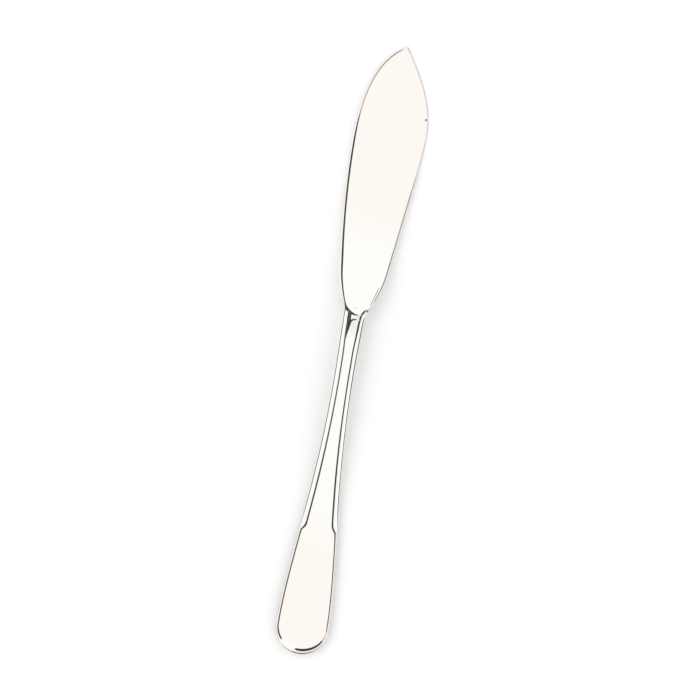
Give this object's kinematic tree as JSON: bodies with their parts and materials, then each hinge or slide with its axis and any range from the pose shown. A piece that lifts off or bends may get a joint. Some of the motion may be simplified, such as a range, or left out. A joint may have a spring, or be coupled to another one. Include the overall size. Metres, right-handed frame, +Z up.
{
  "type": "butter knife",
  "caption": "Polished butter knife with a broad nicked blade, a rounded heel, a narrow ribbed neck and a flat round-ended hollow handle with a raised panel.",
  "frame": {"origin": "on the table under the middle of the knife's box", "axes": "+X along the handle axis to the blade's tip, +Y to the spine side, +Z up from the table"},
  "size_m": [0.175, 0.0206, 0.0056],
  "materials": {
    "blade_steel": "mirror polished steel with fine scratches",
    "handle_plate": "mirror polished, warm, with fine scratches and slight tarnish in the recesses",
    "filler_cement": "matt cement",
    "solder": "polished solder"
  },
  "bodies": {
    "root": {"blade": "blade_steel", "handle_front_shell": "handle_plate", "handle_back_shell": "handle_plate", "handle_filler": "filler_cement", "seam_solder": "solder", "heel_solder": "solder"}
  },
  "joints": []
}
